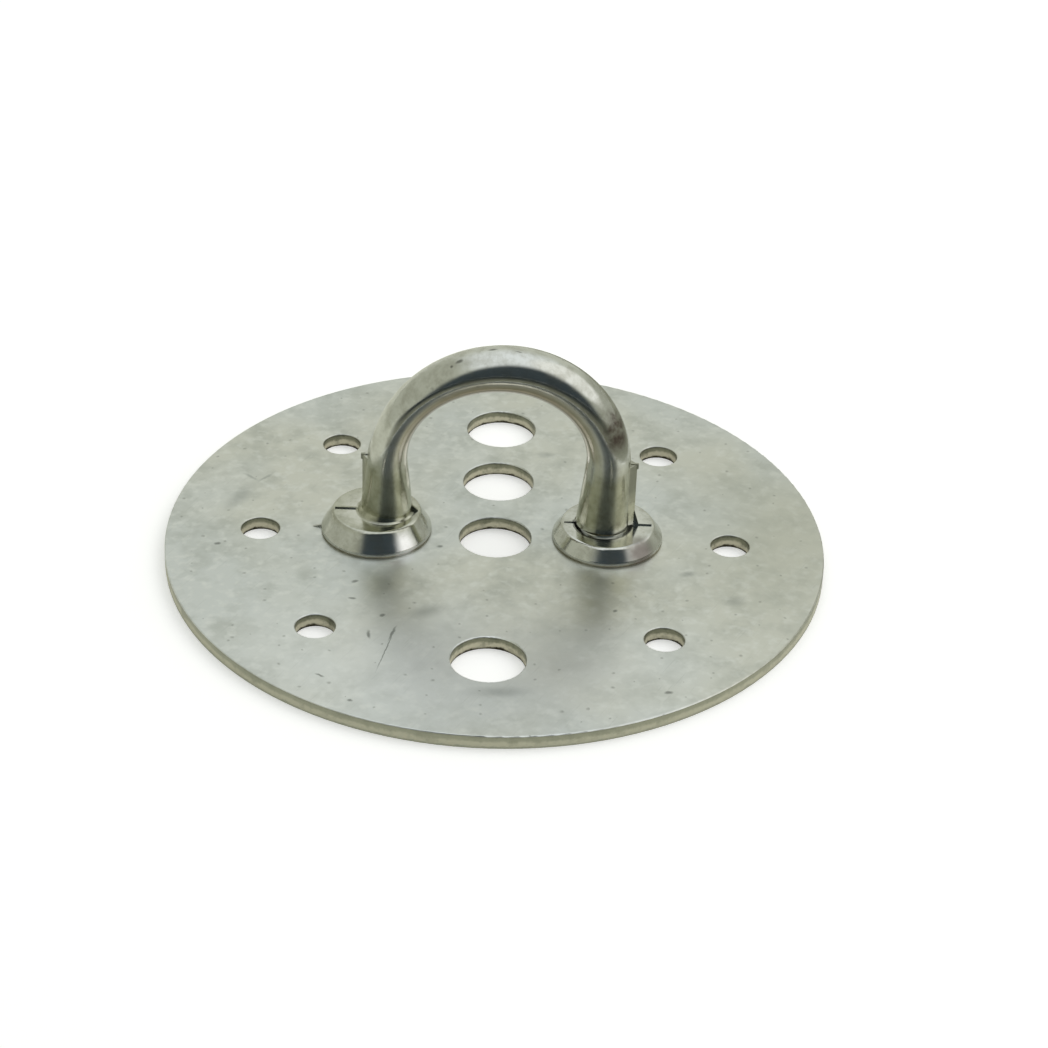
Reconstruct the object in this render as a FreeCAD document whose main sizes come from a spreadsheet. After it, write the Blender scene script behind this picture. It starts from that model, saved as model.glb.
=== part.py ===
import FreeCAD, Part
import math
import os
import Sketcher

# Ceiling hook: a round punched steel plate that screws over a ceiling box, with
# one bent rod whose two ends are upset into collars and riveted through it.
# The origin is the centre of the plate's back face. +Z points away from the
# ceiling, X runs from leg to leg of the loop and Y along the cable holes.
# Everything is in millimetres.

# Each line is a driving dimension: alias, value and what it measures.
SIZES = [
    ("plate_diameter", 71.0, "outer diameter of the plate"),
    ("plate_thickness", 1.5, "sheet gauge of the plate"),
    ("screw_circle", 50.8, "pitch circle of the screw holes"),
    ("screw_hole", 4.2, "diameter of a screw hole"),
    ("cable_hole", 7.8, "diameter of a cable hole"),
    ("cable_pitch", 11.3, "step between cable holes"),
    ("punch_rollover", 0.12, "radius that the punch leaves on a top edge"),
    ("leg_spacing", 23.6, "distance between the leg axes"),
    ("loop_offset", 0.8, "how far the loop stands behind the plate's middle"),
    ("loop_height", 20.5, "plate face to the rod axis at the top of the bow"),
    ("bow_skew", 0.6, "how far the top of the bow sits to the right"),
    ("rod_diameter", 5.0, "diameter of the straight rod"),
    ("left_thinning", 0.5, "what bending takes off the rod where the bow springs on the left"),
    ("right_thinning", 0.2, "what it takes off on the right"),
    ("bow_spread", 0.3, "what bending adds to the rod across the bow"),
    ("crest_thinning", 0.2, "what bending takes off the rod at the top of the bow"),
    ("waist_drop", 3.6, "how far the leg's section above its foot lies under its spring"),
    ("waist_swell", 0.25, "what the upset adds to the rod's width there"),
    ("right_waist_lean", 0.15, "how far the right leg leans to the left there"),
    ("foot_swell", 0.9, "what the upset adds to the rod's width at the plate"),
    ("foot_spread", 0.1, "how much deeper than wide the upset leg is"),
    ("foot_lean", 0.35, "how far the upset feet lean to the left"),
    ("ridge_drop", 11.1, "rod axis at the top of the bow down to the top of the ridges"),
    ("ridge_start", 1.25, "leg axis to the inner edge of a ridge, inside the leg"),
    ("ridge_root", 2.1, "half width of a ridge at that inner edge"),
    ("ridge_edge", 0.1, "width of a ridge's blunt edge"),
    ("left_ridge", 2.62, "leg axis to the edge of the left leg's ridge"),
    ("right_ridge", 3.1, "leg axis to the edge of the right leg's ridge"),
    ("spur_reach", 0.15, "how far the burr at the ridge's top stands out further"),
    ("spur_height", 0.5, "height of that burr"),
    ("spur_taper", 0.5, "height under the burr where it runs out into the leg"),
    ("spur_rise", 0.1, "how far that burr rises over the ridge's top"),
    ("collar_radius", 6.0, "largest radius of a collar"),
    ("collar_foot_radius", 5.9, "radius where a collar meets the plate"),
    ("collar_bulge_height", 0.35, "plate face to the widest part of a collar"),
    ("left_collar_height", 2.5, "height of the left collar"),
    ("left_collar_lip", 4.7, "top edge radius of the left collar"),
    ("left_collar_shift", 1.1, "how far the left collar sits outside its leg"),
    ("right_collar_height", 1.8, "height of the right collar"),
    ("right_collar_lip", 4.95, "top edge radius of the right collar"),
    ("right_collar_shift", 0.3, "how far the right collar sits outside its leg"),
    ("collar_round", 0.45, "edge radius of a collar"),
    ("foot_radius", 2.85, "radius of a foot where it meets its collar's top"),
    ("root_reach", 0.45, "how far the left foot's root spreads over its collar"),
    ("root_sink", 0.1, "how deep that root starts in the collar"),
    ("root_knee_reach", 0.11, "how far its knee stands out from the foot"),
    ("root_knee_height", 0.15, "height of its knee over the collar"),
    ("root_height", 1.1, "height over the collar where it ends inside the leg"),
    ("seam_depth", 0.4, "depth of the cold seam"),
    ("seam_width", 0.35, "width of the cold seam at the collar's top"),
    ("flash_thickness", 0.26, "thickness of the flash on the dies' parting line"),
    ("flash_height", 0.15, "height of the flash on a collar's top"),
    ("inner_flash_height", 0.08, "height of that flash at the collar's inner edge"),
    ("web_height", 5.2, "height of the flash where it climbs the outside of a leg"),
    ("left_web_reach", 0.1, "reach of that flash beyond the left leg's ridge"),
    ("right_web_reach", 0.5, "reach of that flash beyond the right leg's ridge"),
    ("left_inner_web", 1.4, "height of the flash on the inside of the left leg"),
    ("right_inner_web", 0.2, "height of the flash on the inside of the right leg"),
    ("spike_length", 0.9, "flash squeezed out on the plate beside the left collar"),
    ("spike_height", 0.4, "height of that flash at the collar"),
    ("tail_diameter", 4.6, "diameter of the rod's tail in the plate"),
    ("rivet_head", 7.4, "diameter of the riveted head at the back face"),
    ("rivet_depth", 1.0, "depth of the countersink that the head fills"),
    ("rivet_gap", 0.02, "clearance between a tail and its hole"),
]

# A cut must take more than the first of these, in cubic millimetres, and an edge
# is the wanted one when it lies nearer than the second, in millimetres.
TOLERANCE = 1e-6
NEAR = 1e-3

doc = FreeCAD.newDocument("ceiling_hook")
sheet = doc.addObject("Spreadsheet::Sheet", "Sizes")
for row, (alias, value, meaning) in enumerate(SIZES, start=1):
    sheet.set(f"A{row}", meaning)
    sheet.set(f"B{row}", str(value))
    sheet.setAlias(f"B{row}", alias)
doc.recompute()


def size(alias):
    """Return a driving dimension from the sheet."""
    return float(sheet.get(alias))


def plane_of(body, role):
    """Return one of a body's own origin planes."""
    for feature in body.Origin.OriginFeatures:
        if feature.Role == role:
            return feature
    raise ValueError(role)


def add_sketch(body, name, role, shift_x="0", shift_y="0", lift="0"):
    """Make a sketch on an origin plane, moved by three expressions."""
    sketch = body.newObject("Sketcher::SketchObject", name)
    sketch.AttachmentSupport = [(plane_of(body, role), "")]
    sketch.MapMode = "FlatFace"
    sketch.setExpression("AttachmentOffset.Base.x", shift_x)
    sketch.setExpression("AttachmentOffset.Base.y", shift_y)
    sketch.setExpression("AttachmentOffset.Base.z", lift)
    return sketch


def tie(sketch, kind, name, expression, *places):
    """Add a named dimension to a sketch and bind it to the sheet."""
    start = sketch.evalExpression(expression)
    index = sketch.addConstraint(Sketcher.Constraint(kind, *places, float(start)))
    sketch.renameConstraint(index, name)
    sketch.setExpression(f"Constraints.{name}", expression)


def draw_circle(sketch, diameter, centre_x="0", centre_y="0"):
    """Draw a circle whose diameter and centre follow the sheet."""
    centre = FreeCAD.Vector(
        float(sketch.evalExpression(centre_x)), float(sketch.evalExpression(centre_y)), 0
    )
    radius = float(sketch.evalExpression(diameter)) / 2
    circle = sketch.addGeometry(Part.Circle(centre, FreeCAD.Vector(0, 0, 1), radius), False)
    tie(sketch, "Diameter", "diameter", diameter, circle)
    tie(sketch, "DistanceX", "centre_x", centre_x, -1, 1, circle, 3)
    tie(sketch, "DistanceY", "centre_y", centre_y, -1, 1, circle, 3)


def draw_oval(sketch, long_axis, short_axis, direction):
    """Draw an ellipse on the sketch's origin, its long axis Horizontal or Vertical."""
    long_half = float(sketch.evalExpression(long_axis)) / 2
    short_half = float(sketch.evalExpression(short_axis)) / 2
    along = FreeCAD.Vector(1, 0, 0) if direction == "Horizontal" else FreeCAD.Vector(0, 1, 0)
    across = FreeCAD.Vector(-along.y, along.x, 0)
    curve = Part.Ellipse(along * long_half, across * short_half, FreeCAD.Vector(0, 0, 0))
    oval = sketch.addGeometry(curve, False)
    sketch.exposeInternalGeometry(oval)
    major, minor = oval + 1, oval + 2
    sketch.addConstraint(Sketcher.Constraint("Coincident", oval, 3, -1, 1))
    sketch.addConstraint(Sketcher.Constraint(direction, major))
    tie(sketch, "Distance", "long_axis", long_axis, major)
    tie(sketch, "Distance", "short_axis", short_axis, minor)


def draw_outline(sketch, corners):
    """Draw a closed outline whose corners are pairs of expressions."""
    places = []
    for across, up in corners:
        x_value = float(sketch.evalExpression(across))
        y_value = float(sketch.evalExpression(up))
        places.append(FreeCAD.Vector(x_value, y_value, 0))
    first = sketch.GeometryCount
    for number, place in enumerate(places):
        following = places[(number + 1) % len(places)]
        sketch.addGeometry(Part.LineSegment(place, following), False)
    for number, (across, up) in enumerate(corners):
        line = first + number
        after = first + (number + 1) % len(corners)
        sketch.addConstraint(Sketcher.Constraint("Coincident", line, 2, after, 1))
        tie(sketch, "DistanceX", f"across_{line}", across, -1, 1, line, 1)
        tie(sketch, "DistanceY", f"up_{line}", up, -1, 1, line, 1)


def pocket_through(body, name, sketch):
    """Cut a sketch through the whole plate and check that metal went."""
    before = body.Shape.Volume
    pocket = body.newObject("PartDesign::Pocket", name)
    pocket.Profile = sketch
    pocket.Type = "ThroughAll"
    pocket.Midplane = True
    doc.recompute()
    assert pocket.Shape.Volume < before - TOLERANCE, f"{name} cuts nothing"
    return pocket


def finish_pattern(body, pattern, originals):
    """Give a pattern its originals and make it the body's tip."""
    pattern.Originals = originals
    body.Tip = pattern
    doc.recompute()
    return pattern


def turn(body, kind, name, sketch):
    """Turn a sketch about its own upright axis."""
    feature = body.newObject(kind, name)
    feature.Profile = sketch
    feature.ReferenceAxis = (sketch, ["V_Axis"])
    feature.Angle = 360
    doc.recompute()
    return feature


def round_edges(body, name, edges, radius):
    """Fillet some edges of the body as it stands."""
    base = body.Tip
    fillet = body.newObject("PartDesign::Fillet", name)
    fillet.Base = (base, edges)
    fillet.setExpression("Radius", radius)
    doc.recompute()
    return fillet


def edge_names(shape, wanted):
    """Name the edges of a shape that a test picks."""
    names = []
    for number, edge in enumerate(shape.Edges, start=1):
        if wanted(edge):
            names.append(f"Edge{number}")
    return names


def is_circle_at(edge, height, radius, centre_x):
    """Tell whether an edge lies on a level circle of this radius and place."""
    curve = edge.Curve
    if not isinstance(curve, Part.Circle):
        return False
    misses = (curve.Center.z - height, curve.Radius - radius, curve.Center.x - centre_x)
    return all(abs(miss) < NEAR for miss in misses)


# Ceiling plate


def build_plate():
    """Build the punched disc."""
    body = doc.addObject("PartDesign::Body", "ceiling_plate")
    body.Label = "ceiling_plate"

    blank = add_sketch(body, "blank_outline", "XY_Plane")
    draw_circle(blank, "Sizes.plate_diameter")
    disc = body.newObject("PartDesign::Pad", "disc")
    disc.Profile = blank
    disc.setExpression("Length", "Sizes.plate_thickness")
    doc.recompute()

    # Three cable holes run from the centre to the far side, and one stands
    # alone on the near side, as far out as the last of the three.
    row = add_sketch(body, "cable_row_outline", "XY_Plane")
    draw_circle(row, "Sizes.cable_hole")
    row_hole = pocket_through(body, "cable_row_hole", row)
    row_pattern = body.newObject("PartDesign::LinearPattern", "cable_row")
    row_pattern.Direction = (row, ["V_Axis"])
    row_pattern.setExpression("Length", "2 * Sizes.cable_pitch")
    row_pattern.Occurrences = 3
    finish_pattern(body, row_pattern, [row_hole])
    lone = add_sketch(body, "cable_lone_outline", "XY_Plane")
    draw_circle(lone, "Sizes.cable_hole", "0", "-2 * Sizes.cable_pitch")
    pocket_through(body, "cable_lone_hole", lone)

    # Four screw holes stand on the diagonals and two in line with the loop.
    diagonal = add_sketch(body, "diagonal_screw_outline", "XY_Plane")
    reach = "Sizes.screw_circle / 2 * cos(45)"
    draw_circle(diagonal, "Sizes.screw_hole", reach, reach)
    diagonal_hole = pocket_through(body, "diagonal_screw_hole", diagonal)
    diagonals = body.newObject("PartDesign::PolarPattern", "diagonal_screws")
    diagonals.Axis = (diagonal, ["N_Axis"])
    diagonals.Angle = 360
    diagonals.Occurrences = 4
    finish_pattern(body, diagonals, [diagonal_hole])
    side = add_sketch(body, "side_screw_outline", "XY_Plane")
    draw_circle(side, "Sizes.screw_hole", "Sizes.screw_circle / 2")
    side_hole = pocket_through(body, "side_screw_hole", side)
    sides = body.newObject("PartDesign::PolarPattern", "side_screws")
    sides.Axis = (side, ["N_Axis"])
    sides.Angle = 360
    sides.Occurrences = 2
    finish_pattern(body, sides, [side_hole])

    # The punch rounds the top edge of every hole and of the rim. The rivet
    # holes are cut after this, because they are pressed into the collars.
    top = size("plate_thickness")
    level = edge_names(body.Shape, lambda edge: abs(edge.BoundBox.ZMin - top) < TOLERANCE)
    round_edges(body, "punched_edges", level, "Sizes.punch_rollover")

    # Each tail passes a plain hole and fills a countersink at the back face.
    before = body.Shape.Volume
    seat = add_sketch(body, "rivet_seat_outline", "XZ_Plane", "Sizes.leg_spacing / 2",
                      lift="-Sizes.loop_offset")
    draw_outline(seat, rivet_outline("Sizes.rivet_gap", "Sizes.plate_thickness"))
    seat_cut = turn(body, "PartDesign::Groove", "rivet_seat", seat)
    assert seat_cut.Shape.Volume < before - TOLERANCE, "the rivet seat cuts nothing"
    seats = body.newObject("PartDesign::Mirrored", "rivet_seats")
    seats.MirrorPlane = (plane_of(body, "YZ_Plane"), [""])
    finish_pattern(body, seats, [seat_cut])
    return body


def rivet_outline(gap, top):
    """Return the half section of a riveted tail, grown by a clearance."""
    return [
        ("0", "0"),
        (f"Sizes.rivet_head / 2 + {gap}", "0"),
        (f"Sizes.tail_diameter / 2 + {gap}", "Sizes.rivet_depth"),
        (f"Sizes.tail_diameter / 2 + {gap}", top),
        ("0", top),
    ]


# Hook loop

# The top of the ridges, measured down from the rod's axis at the top of the bow.
RIDGE_TOP = "(Sizes.plate_thickness + Sizes.loop_height - Sizes.ridge_drop)"


def build_loop():
    """Build the bent rod with its tails, collars, seam, ridges and flash."""
    body = doc.addObject("PartDesign::Body", "hook_loop")
    body.Label = "hook_loop"
    add_bow(body)
    for side, hand in (("left", "-"), ("right", "")):
        add_tail(body, side, hand)
        add_collar(body, side, hand)
    round_collars(body)
    add_root(body)
    add_seam(body)
    for side, hand in (("left", "-"), ("right", "")):
        add_ridge(body, side, hand)
        add_flash(body, side, hand)
        add_spur(body, side, hand)
    add_spike(body)
    return body


def side_sketch(body, name, shift_x="0"):
    """Make a sketch on the upright plane that holds both leg axes."""
    return add_sketch(body, name, "XZ_Plane", shift_x, lift="-Sizes.loop_offset")


def add_bow(body):
    """Sweep the bent rod from one end on the plate to the other."""
    half = "Sizes.leg_spacing / 2"
    start = "Sizes.plate_thickness"
    crown = "(Sizes.plate_thickness + Sizes.loop_height)"
    left_radius = f"({half} + Sizes.bow_skew)"
    path = side_sketch(body, "bow_path")

    leg_x = size("leg_spacing") / 2
    skew = size("bow_skew")
    foot_z = size("plate_thickness")
    crown_z = size("plate_thickness") + size("loop_height")
    normal = FreeCAD.Vector(0, 0, 1)
    left_centre = FreeCAD.Vector(skew, crown_z - leg_x - skew, 0)
    left_circle = Part.Circle(left_centre, normal, leg_x + skew)
    right_centre = FreeCAD.Vector(skew, crown_z - leg_x + skew, 0)
    right_circle = Part.Circle(right_centre, normal, leg_x - skew)
    left_line = path.addGeometry(
        Part.LineSegment(
            FreeCAD.Vector(-leg_x, foot_z, 0), FreeCAD.Vector(-leg_x, crown_z - leg_x - skew, 0)
        ),
        False,
    )
    left_arc = path.addGeometry(Part.ArcOfCircle(left_circle, math.pi / 2, math.pi), False)
    right_arc = path.addGeometry(Part.ArcOfCircle(right_circle, 0, math.pi / 2), False)
    right_line = path.addGeometry(
        Part.LineSegment(
            FreeCAD.Vector(leg_x, crown_z - leg_x + skew, 0), FreeCAD.Vector(leg_x, foot_z, 0)
        ),
        False,
    )
    path.addConstraint(Sketcher.Constraint("Tangent", left_line, 2, left_arc, 2))
    path.addConstraint(Sketcher.Constraint("Tangent", left_arc, 1, right_arc, 2))
    path.addConstraint(Sketcher.Constraint("Tangent", right_arc, 1, right_line, 1))
    path.addConstraint(Sketcher.Constraint("Vertical", left_line))
    path.addConstraint(Sketcher.Constraint("Vertical", right_line))
    tie(path, "DistanceX", "left_leg_x", f"-{half}", -1, 1, left_line, 1)
    tie(path, "DistanceY", "left_leg_start", start, -1, 1, left_line, 1)
    tie(path, "DistanceX", "right_leg_x", half, -1, 1, right_line, 2)
    tie(path, "DistanceY", "right_leg_start", start, -1, 1, right_line, 2)
    tie(path, "DistanceX", "crown_x", "Sizes.bow_skew", -1, 1, left_arc, 1)
    tie(path, "DistanceY", "crown_height", crown, -1, 1, left_arc, 1)
    tie(path, "Radius", "left_radius", left_radius, left_arc)

    # The section changes along the path: upset and thick at the plate, thinned
    # where the bow springs from a leg, and nearly whole again at its top.
    foot = "Sizes.rod_diameter + Sizes.foot_swell"
    foot_depth = f"{foot} + Sizes.foot_spread"
    waist = "Sizes.rod_diameter + Sizes.waist_swell"
    waist_depth = f"{waist} + Sizes.foot_spread"
    bow_depth = "Sizes.rod_diameter + Sizes.bow_spread"
    left_width = "Sizes.rod_diameter - Sizes.left_thinning"
    right_width = "Sizes.rod_diameter - Sizes.right_thinning"
    left_leg = f"-{half}"
    left_foot = f"{left_leg} - Sizes.foot_lean"
    right_waist = f"{half} - Sizes.right_waist_lean"
    right_foot = f"{half} - Sizes.foot_lean"
    left_spring = f"{crown} - {left_radius}"
    right_spring = f"{crown} - ({half} - Sizes.bow_skew)"
    levels = [
        ("left_foot", left_foot, start, foot_depth, foot),
        ("left_waist", left_leg, f"{left_spring} - Sizes.waist_drop", waist_depth, waist),
        ("left_spring", left_leg, left_spring, bow_depth, left_width),
        ("right_spring", half, right_spring, bow_depth, right_width),
        ("right_waist", right_waist, f"{right_spring} - Sizes.waist_drop", waist_depth, waist),
        ("right_foot", right_foot, start, foot_depth, foot),
    ]
    sections = []
    for name, across, height, depth, width in levels:
        section = add_sketch(body, name, "XY_Plane", across, "Sizes.loop_offset", height)
        draw_oval(section, depth, width, "Vertical")
        sections.append(section)
    crest = add_sketch(body, "crest", "YZ_Plane", "Sizes.loop_offset", crown, "Sizes.bow_skew")
    draw_oval(crest, bow_depth, "Sizes.rod_diameter - Sizes.crest_thinning", "Horizontal")
    sections.insert(len(levels) // 2, crest)
    doc.recompute()
    bow = body.newObject("PartDesign::AdditivePipe", "bow")
    bow.Profile = sections[0]
    bow.Spine = (path, ["Edge1", "Edge2", "Edge3", "Edge4"])
    bow.Transformation = "Multisection"
    bow.Sections = sections[1:]
    doc.recompute()


def add_tail(body, side, hand):
    """Turn the tail that passes the plate and is riveted over at the back face."""
    inside = f"Sizes.plate_thickness + Sizes.{side}_collar_height / 2"
    sketch = side_sketch(body, f"{side}_tail_outline", f"{hand}Sizes.leg_spacing / 2")
    draw_outline(sketch, rivet_outline("0", inside))
    turn(body, "PartDesign::Revolution", f"{side}_tail", sketch)


def add_collar(body, side, hand):
    """Turn the upset collar that bears on the plate."""
    axis = f"{hand}(Sizes.leg_spacing / 2 + Sizes.{side}_collar_shift)"
    collar_top = f"Sizes.plate_thickness + Sizes.{side}_collar_height"
    sketch = side_sketch(body, f"{side}_collar_outline", axis)
    draw_outline(sketch, [
        ("0", "Sizes.plate_thickness"),
        ("Sizes.collar_foot_radius", "Sizes.plate_thickness"),
        ("Sizes.collar_radius", "Sizes.plate_thickness + Sizes.collar_bulge_height"),
        (f"Sizes.{side}_collar_lip", collar_top),
        ("0", collar_top),
    ])
    turn(body, "PartDesign::Revolution", f"{side}_collar", sketch)


def round_collars(body):
    """Round the widest edge and the lip of both collars."""
    plate_top = size("plate_thickness")
    places = []
    for side, hand in (("left", -1), ("right", 1)):
        centre_x = hand * (size("leg_spacing") / 2 + size(f"{side}_collar_shift"))
        places.append((plate_top + size("collar_bulge_height"), size("collar_radius"), centre_x))
        lip_z = plate_top + size(f"{side}_collar_height")
        places.append((lip_z, size(f"{side}_collar_lip"), centre_x))
    names = edge_names(body.Shape, lambda edge: any(is_circle_at(edge, *place) for place in places))
    round_edges(body, "collar_rounds", names, "Sizes.collar_round")


def add_root(body):
    """Turn the hollow root where the metal flowed from the left foot to its collar."""
    inside = "Sizes.plate_thickness + Sizes.left_collar_height / 2"
    top = "Sizes.plate_thickness + Sizes.left_collar_height"
    axis = "-Sizes.leg_spacing / 2 - Sizes.foot_lean / 2"
    sketch = side_sketch(body, "left_root_outline", axis)
    draw_outline(sketch, [
        ("0", inside),
        ("Sizes.foot_radius + Sizes.root_reach", inside),
        ("Sizes.foot_radius + Sizes.root_reach", f"{top} - Sizes.root_sink"),
        ("Sizes.foot_radius + Sizes.root_knee_reach", f"{top} + Sizes.root_knee_height"),
        ("Sizes.foot_radius - Sizes.root_reach", f"{top} + Sizes.root_height"),
        ("0", f"{top} + Sizes.root_height"),
    ])
    turn(body, "PartDesign::Revolution", "left_root", sketch)


def add_seam(body):
    """Cut the cold seam where the right collar folded against its foot."""
    before = body.Shape.Volume
    top = "Sizes.plate_thickness + Sizes.right_collar_height"
    sketch = side_sketch(body, "right_seam_outline", "Sizes.leg_spacing / 2 - Sizes.foot_lean / 2")
    draw_outline(sketch, [
        ("Sizes.foot_radius", f"{top} - Sizes.seam_depth"),
        ("Sizes.foot_radius + Sizes.seam_width", top),
        ("Sizes.foot_radius", f"{top} + Sizes.seam_depth"),
        ("Sizes.foot_radius - Sizes.seam_width / 2", top),
    ])
    seam = turn(body, "PartDesign::Groove", "right_seam", sketch)
    assert seam.Shape.Volume < before - TOLERANCE, "the seam cuts nothing"


def add_ridge(body, side, hand):
    """Raise the blunt ridge that the dies left down the outside of a leg."""
    start = f"Sizes.plate_thickness + Sizes.{side}_collar_height / 2"
    edge = f"{hand}Sizes.{side}_ridge"
    root = f"{hand}Sizes.ridge_start"
    sketch = add_sketch(body, f"{side}_ridge_outline", "XY_Plane", f"{hand}Sizes.leg_spacing / 2",
                        "Sizes.loop_offset", start)
    draw_outline(sketch, [
        (root, "-Sizes.ridge_root"),
        (edge, "-Sizes.ridge_edge / 2"),
        (edge, "Sizes.ridge_edge / 2"),
        (root, "Sizes.ridge_root"),
    ])
    ridge = body.newObject("PartDesign::Pad", f"{side}_ridge")
    ridge.Profile = sketch
    ridge.setExpression("Length", f"{RIDGE_TOP} - ({start})")
    doc.recompute()


def pad_flash(body, name, sketch):
    """Raise a thin rib from an outline on the dies' parting plane."""
    rib = body.newObject("PartDesign::Pad", name)
    rib.Profile = sketch
    rib.Midplane = True
    rib.setExpression("Length", "Sizes.flash_thickness")
    doc.recompute()


def add_flash(body, side, hand):
    """Raise the thin flash that runs over a collar and climbs its leg."""
    top = f"Sizes.plate_thickness + Sizes.{side}_collar_height"
    inside = f"Sizes.plate_thickness + Sizes.{side}_collar_height / 2"
    lip = f"Sizes.{side}_collar_lip - Sizes.collar_round / 2"
    leg = "Sizes.rod_diameter / 2 - Sizes.left_thinning"
    outline = [
        ("0", inside),
        (f"{lip} + Sizes.{side}_collar_shift", inside),
        (f"{lip} + Sizes.{side}_collar_shift", f"{top} + Sizes.flash_height"),
        (f"Sizes.{side}_ridge + Sizes.{side}_web_reach", f"{top} + Sizes.flash_height"),
        (leg, f"{top} + Sizes.web_height"),
        (f"-({leg})", f"{top} + Sizes.{side}_inner_web"),
        (f"-({lip} - Sizes.{side}_collar_shift)", f"{top} + Sizes.inner_flash_height"),
        (f"-({lip} - Sizes.{side}_collar_shift)", inside),
    ]
    sketch = side_sketch(body, f"{side}_flash_outline", f"{hand}Sizes.leg_spacing / 2")
    draw_outline(sketch, [(f"{hand}({across})", up) for across, up in outline])
    pad_flash(body, f"{side}_flash", sketch)


def add_spur(body, side, hand):
    """Raise the burr at the top end of a ridge."""
    leg = "Sizes.rod_diameter / 2 - Sizes.left_thinning"
    tip = f"Sizes.{side}_ridge + Sizes.spur_reach"
    sketch = side_sketch(body, f"{side}_spur_outline", f"{hand}Sizes.leg_spacing / 2")
    draw_outline(sketch, [
        (f"{hand}({leg})", f"{RIDGE_TOP} - Sizes.spur_height - Sizes.spur_taper"),
        (f"{hand}({tip})", f"{RIDGE_TOP} - Sizes.spur_height"),
        (f"{hand}({tip})", f"{RIDGE_TOP} + Sizes.spur_rise"),
        (f"{hand}({leg})", f"{RIDGE_TOP} + Sizes.spur_rise"),
    ])
    pad_flash(body, f"{side}_spur", sketch)


def add_spike(body):
    """Raise the tongue of flash that lies on the plate beside the left collar."""
    foot = "Sizes.collar_radius - Sizes.collar_round"
    axis = "-(Sizes.leg_spacing / 2 + Sizes.left_collar_shift)"
    sketch = side_sketch(body, "spike_outline", axis)
    draw_outline(sketch, [
        (f"-({foot})", "Sizes.plate_thickness"),
        ("-(Sizes.collar_radius + Sizes.spike_length)", "Sizes.plate_thickness"),
        (f"-({foot})", "Sizes.plate_thickness + Sizes.spike_height"),
    ])
    pad_flash(body, "left_spike", sketch)


# Checks and export


def check(document):
    """Stop if any object failed or any sub-part is not one valid solid."""
    for item in document.Objects:
        for bad in ("Invalid", "Error"):
            assert bad not in item.State, f"{item.Name} is {item.State}"
    for body in document.findObjects("PartDesign::Body"):
        shape = body.Shape
        assert not shape.isNull(), f"{body.Label} is empty"
        assert shape.isValid(), f"{body.Label} is not valid"
        assert len(shape.Solids) == 1, f"{body.Label} has {len(shape.Solids)} solids"


plate = build_plate()
loop = build_loop()
doc.recompute()
check(doc)
os.makedirs("parts", exist_ok=True)
for part in (plate, loop):
    part.Shape.exportStep(f"parts/{part.Label}.step")
    box = part.Shape.optimalBoundingBox()
    corners = (box.XMin, box.XMax, box.YMin, box.YMax, box.ZMin, box.ZMax)
    print(part.Label, round(part.Shape.Volume, 2), "mm3", [round(value, 2) for value in corners])
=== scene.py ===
# %% [markdown]
# # A ceiling hook of zinc plated steel
#
# The object is a punched steel disc that screws over a round ceiling box. A bent
# rod is riveted to it as a loop, and a lamp hangs from that. The solids come
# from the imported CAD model, already at their real size in metres. This lesson
# adds what CAD leaves out: the finish of two kinds of zinc, the marks of the
# press and of handling, the light, the floor and the camera.

# %% Load the frame
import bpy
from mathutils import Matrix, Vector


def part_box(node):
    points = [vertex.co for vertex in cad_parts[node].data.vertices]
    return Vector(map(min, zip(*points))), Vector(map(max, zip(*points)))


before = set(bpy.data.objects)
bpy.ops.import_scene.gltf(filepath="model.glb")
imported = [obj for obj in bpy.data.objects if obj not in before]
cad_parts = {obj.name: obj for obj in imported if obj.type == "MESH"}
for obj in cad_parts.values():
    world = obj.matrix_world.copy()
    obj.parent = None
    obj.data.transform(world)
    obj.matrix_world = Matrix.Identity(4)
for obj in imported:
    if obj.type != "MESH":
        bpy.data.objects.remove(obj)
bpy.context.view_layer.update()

import math

import bmesh
import bpy
from mathutils import Matrix, Vector

print("nodes:", sorted(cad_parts))

# %% [markdown]
# Blender works in metres here, but a hook is easier to think about in
# millimetres. So sizes are written in millimetres and turned into metres where
# they are used. The plate's own box gives its radius and the height of its face.

# %% Sizes from the frame
MM = 0.001
plate_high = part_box("ceiling_plate")[1]
PLATE_TOP = plate_high[2] / MM
PLATE_RADIUS = plate_high[0] / MM
loop_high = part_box("hook_loop")[1]
LOOP_TOP = loop_high[2] / MM
print("plate radius", round(PLATE_RADIUS, 2), "mm and thickness", round(PLATE_TOP, 2), "mm")
print("top of the loop at", round(LOOP_TOP, 2), "mm")

# %% [markdown]
# ## The camera
#
# The photograph was taken with a long lens, from 33 degrees above the floor, and
# the camera leaned by two degrees. Those values were found by matching the rim
# and the holes. The camera stands back from the plate's centre along that line
# of sight, then moves aside until the centre falls on its own pixel. A shifted
# lens could do that too, but moving the camera keeps the other views centred.

# %% Camera
PHOTO_SIZE = 1048
SENSOR_MM = 36.0
FOCAL_LENGTH_MM = 97.1
AZIMUTH = math.radians(0.16)
ELEVATION = math.radians(33.02)
ROLL = math.radians(2.12)
DISTANCE = 305.6 * MM
PLATE_CENTRE_PIXEL = (495.2, 536.8)
NEAREST_VIEW = 10 * MM
FARTHEST_VIEW = 20.0


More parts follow.
